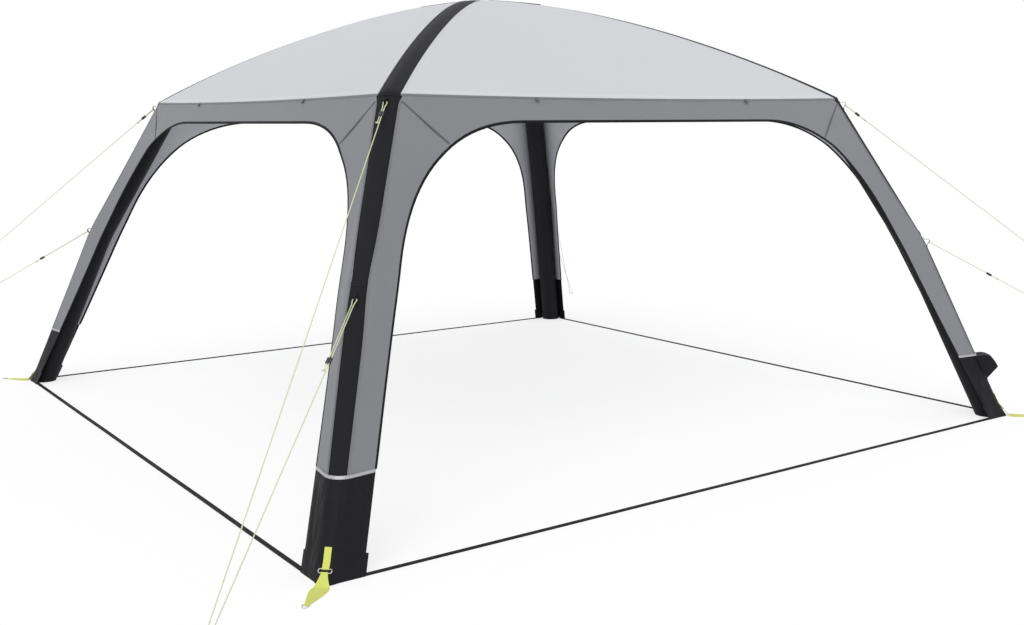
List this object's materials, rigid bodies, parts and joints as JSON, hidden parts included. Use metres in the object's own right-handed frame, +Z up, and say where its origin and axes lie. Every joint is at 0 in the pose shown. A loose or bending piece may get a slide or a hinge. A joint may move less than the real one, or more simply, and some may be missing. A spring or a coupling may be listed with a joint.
{
  "type": "inflatable shelter tent",
  "caption": "Square open-sided shelter tent: crossed air beams, domed pale grey roof, dark grey arched side walls, pegging tabs and guy lines.",
  "frame": {"origin": "on the ground at the centre of the square that the four feet stand on", "axes": "+Z up; the front doorway faces -Y and the right doorway faces +X; the legs stand on the diagonals, and the two with valves are at +X"},
  "size_m": [5.9312, 5.9312, 2.2424],
  "materials": {
    "roof_cloth": "pale grey coated polyester, slight sheen",
    "wall_cloth": "mid grey coated polyester, matt",
    "black_cloth": "black woven polyester, matt",
    "binding": "black woven tape",
    "bladder": "translucent plastic air tube",
    "yellow_webbing": "neon yellow woven webbing",
    "yellow_cord": "yellow-green braided cord",
    "steel": "plated steel wire",
    "black_plastic": "moulded black plastic",
    "black_webbing": "black flat webbing"
  },
  "bodies": {
    "shelter": {"air_beam_rear": "bladder", "air_beam_right": "bladder", "beam_sleeve_rear": "black_cloth", "beam_sleeve_right": "black_cloth", "crown_patch": "black_cloth", "edge_binding_back": "binding", "edge_binding_front": "binding", "edge_binding_left": "binding", "edge_binding_right": "binding", "foot_gaiter_back_left": "black_cloth", "foot_gaiter_back_right": "black_cloth", "foot_gaiter_front_left": "black_cloth", "foot_gaiter_front_right": "black_cloth", "ground_strap_back": "black_webbing", "ground_strap_front": "black_webbing", "ground_strap_left": "black_webbing", "ground_strap_right": "black_webbing", "guy_line_lower_back_left": "yellow_cord", "guy_line_lower_back_right": "yellow_cord", "guy_line_lower_front_left": "yellow_cord", "guy_line_lower_front_right": "yellow_cord", "guy_line_upper_back_left": "yellow_cord", "guy_line_upper_back_right": "yellow_cord", "guy_line_upper_front_left": "yellow_cord", "guy_line_upper_front_right": "yellow_cord", "roof_panel_back": "roof_cloth", "roof_panel_front": "roof_cloth", "roof_panel_left": "roof_cloth", "roof_panel_right": "roof_cloth", "side_panel_back": "wall_cloth", "side_panel_front": "wall_cloth", "side_panel_left": "wall_cloth", "side_panel_right": "wall_cloth", "valve_body_rear": "black_plastic", "valve_body_right": "black_plastic"},
    "peg_ring_front_left": {"peg_ring_front_left": "steel"},
    "peg_tab_front_left": {"peg_tab_front_left": "yellow_webbing"},
    "peg_eye_front_left": {"peg_eye_front_left": "steel"},
    "peg_ring_front_right": {"peg_ring_front_right": "steel"},
    "peg_tab_front_right": {"peg_tab_front_right": "yellow_webbing"},
    "peg_eye_front_right": {"peg_eye_front_right": "steel"},
    "peg_ring_back_right": {"peg_ring_back_right": "steel"},
    "peg_tab_back_right": {"peg_tab_back_right": "yellow_webbing"},
    "peg_eye_back_right": {"peg_eye_back_right": "steel"},
    "peg_ring_back_left": {"peg_ring_back_left": "steel"},
    "peg_tab_back_left": {"peg_tab_back_left": "yellow_webbing"},
    "peg_eye_back_left": {"peg_eye_back_left": "steel"},
    "guy_slider_upper_front_left": {"guy_slider_upper_front_left": "black_plastic"},
    "guy_slider_upper_front_right": {"guy_slider_upper_front_right": "black_plastic"},
    "guy_slider_upper_back_right": {"guy_slider_upper_back_right": "black_plastic"},
    "guy_slider_upper_back_left": {"guy_slider_upper_back_left": "black_plastic"},
    "guy_slider_lower_front_left": {"guy_slider_lower_front_left": "black_plastic"},
    "guy_slider_lower_front_right": {"guy_slider_lower_front_right": "black_plastic"},
    "guy_slider_lower_back_right": {"guy_slider_lower_back_right": "black_plastic"},
    "guy_slider_lower_back_left": {"guy_slider_lower_back_left": "black_plastic"},
    "valve_cap_right": {"valve_cap_right": "black_plastic"},
    "valve_flap_right": {"valve_flap_right": "black_cloth"},
    "valve_cap_rear": {"valve_cap_rear": "black_plastic"},
    "valve_flap_rear": {"valve_flap_rear": "black_cloth"}
  },
  "joints": [
    {"name": "ring_swing_front_left", "type": "hinge", "parent": "shelter", "child": "peg_ring_front_left", "pos_m": [-2.01911, -2.01911, 0.052], "axis": [-0.7071, 0.7071, 0], "range_deg": [0, 35]},
    {"name": "tab_lift_front_left", "type": "hinge", "parent": "peg_ring_front_left", "child": "peg_tab_front_left", "pos_m": [-2.02711, -2.02711, 0.04069], "axis": [-0.7071, 0.7071, 0], "range_deg": [0, 60]},
    {"name": "eye_swing_front_left", "type": "hinge", "parent": "peg_tab_front_left", "child": "peg_eye_front_left", "pos_m": [-2.16146, -2.16146, 0.0038], "axis": [-0.7071, 0.7071, 0], "range_deg": [0, 150]},
    {"name": "ring_swing_front_right", "type": "hinge", "parent": "shelter", "child": "peg_ring_front_right", "pos_m": [2.01911, -2.01911, 0.052], "axis": [-0.7071, -0.7071, 0], "range_deg": [0, 35]},
    {"name": "tab_lift_front_right", "type": "hinge", "parent": "peg_ring_front_right", "child": "peg_tab_front_right", "pos_m": [2.02711, -2.02711, 0.04069], "axis": [-0.7071, -0.7071, 0], "range_deg": [0, 60]},
    {"name": "eye_swing_front_right", "type": "hinge", "parent": "peg_tab_front_right", "child": "peg_eye_front_right", "pos_m": [2.16146, -2.16146, 0.0038], "axis": [-0.7071, -0.7071, 0], "range_deg": [0, 150]},
    {"name": "ring_swing_back_right", "type": "hinge", "parent": "shelter", "child": "peg_ring_back_right", "pos_m": [2.01911, 2.01911, 0.052], "axis": [0.7071, -0.7071, 0], "range_deg": [0, 35]},
    {"name": "tab_lift_back_right", "type": "hinge", "parent": "peg_ring_back_right", "child": "peg_tab_back_right", "pos_m": [2.02711, 2.02711, 0.04069], "axis": [0.7071, -0.7071, 0], "range_deg": [0, 60]},
    {"name": "eye_swing_back_right", "type": "hinge", "parent": "peg_tab_back_right", "child": "peg_eye_back_right", "pos_m": [2.16146, 2.16146, 0.0038], "axis": [0.7071, -0.7071, 0], "range_deg": [0, 150]},
    {"name": "ring_swing_back_left", "type": "hinge", "parent": "shelter", "child": "peg_ring_back_left", "pos_m": [-2.01911, 2.01911, 0.052], "axis": [0.7071, 0.7071, 0], "range_deg": [0, 35]},
    {"name": "tab_lift_back_left", "type": "hinge", "parent": "peg_ring_back_left", "child": "peg_tab_back_left", "pos_m": [-2.02711, 2.02711, 0.04069], "axis": [0.7071, 0.7071, 0], "range_deg": [0, 60]},
    {"name": "eye_swing_back_left", "type": "hinge", "parent": "peg_tab_back_left", "child": "peg_eye_back_left", "pos_m": [-2.16146, 2.16146, 0.0038], "axis": [0.7071, 0.7071, 0], "range_deg": [0, 150]},
    {"name": "slider_upper_front_left", "type": "slide", "parent": "shelter", "child": "guy_slider_upper_front_left", "axis": [0.5651, 0.5651, 0.601], "range_m": [-0.03, 0.025]},
    {"name": "slider_upper_front_right", "type": "slide", "parent": "shelter", "child": "guy_slider_upper_front_right", "axis": [-0.5651, 0.5651, 0.601], "range_m": [-0.03, 0.025]},
    {"name": "slider_upper_back_right", "type": "slide", "parent": "shelter", "child": "guy_slider_upper_back_right", "axis": [-0.5651, -0.5651, 0.601], "range_m": [-0.03, 0.025]},
    {"name": "slider_upper_back_left", "type": "slide", "parent": "shelter", "child": "guy_slider_upper_back_left", "axis": [0.5651, -0.5651, 0.601], "range_m": [-0.03, 0.025]},
    {"name": "slider_lower_front_left", "type": "slide", "parent": "shelter", "child": "guy_slider_lower_front_left", "axis": [0.6232, 0.6232, 0.4726], "range_m": [-0.03, 0.3]},
    {"name": "slider_lower_front_right", "type": "slide", "parent": "shelter", "child": "guy_slider_lower_front_right", "axis": [-0.6232, 0.6232, 0.4726], "range_m": [-0.03, 0.3]},
    {"name": "slider_lower_back_right", "type": "slide", "parent": "shelter", "child": "guy_slider_lower_back_right", "axis": [-0.6232, -0.6232, 0.4726], "range_m": [-0.03, 0.3]},
    {"name": "slider_lower_back_left", "type": "slide", "parent": "shelter", "child": "guy_slider_lower_back_left", "axis": [0.6232, -0.6232, 0.4726], "range_m": [-0.03, 0.3]},
    {"name": "cap_hinge_right", "type": "hinge", "parent": "shelter", "child": "valve_cap_right", "pos_m": [1.9488, -1.9488, 0.24888], "axis": [0.7071, 0.7071, 0], "range_deg": [0, 110]},
    {"name": "flap_fold_right", "type": "hinge", "parent": "shelter", "child": "valve_flap_right", "pos_m": [1.92158, -1.92158, 0.325], "axis": [0.7071, 0.7071, 0], "range_deg": [0, 16]},
    {"name": "cap_hinge_rear", "type": "hinge", "parent": "shelter", "child": "valve_cap_rear", "pos_m": [1.9488, 1.9488, 0.24888], "axis": [-0.7071, 0.7071, 0], "range_deg": [0, 110]},
    {"name": "flap_fold_rear", "type": "hinge", "parent": "shelter", "child": "valve_flap_rear", "pos_m": [1.92158, 1.92158, 0.325], "axis": [-0.7071, 0.7071, 0], "range_deg": [0, 16]}
  ]
}
